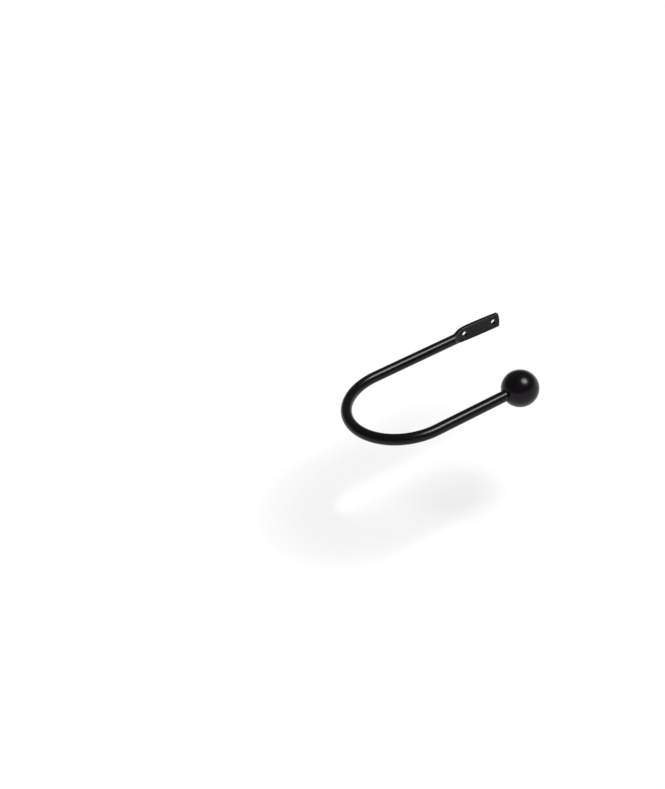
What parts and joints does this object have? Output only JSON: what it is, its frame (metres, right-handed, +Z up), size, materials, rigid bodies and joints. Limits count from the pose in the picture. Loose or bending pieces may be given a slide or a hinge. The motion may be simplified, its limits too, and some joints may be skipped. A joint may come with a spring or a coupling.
{
  "type": "curtain holdback",
  "caption": "Round tube bent to a U, one end pressed flat and pierced for wall screws, the other ending in a ball, to hold a gathered curtain back beside a window.",
  "frame": {"origin": "midway between the two screw holes, on the flat plate's back face", "axes": "+X along the plate from the shoulder to its bowed end, +Y out of the plate's back into the wall, +Z up across the level U"},
  "size_m": [0.1935, 0.1254, 0.033],
  "materials": {
    "tube_coat": "satin black powder coat on steel tube",
    "ball_coat": "satin black ball with a plain socket"
  },
  "bodies": {
    "root": {"hook_tube": "tube_coat", "ball_finial": "ball_coat"}
  },
  "joints": []
}
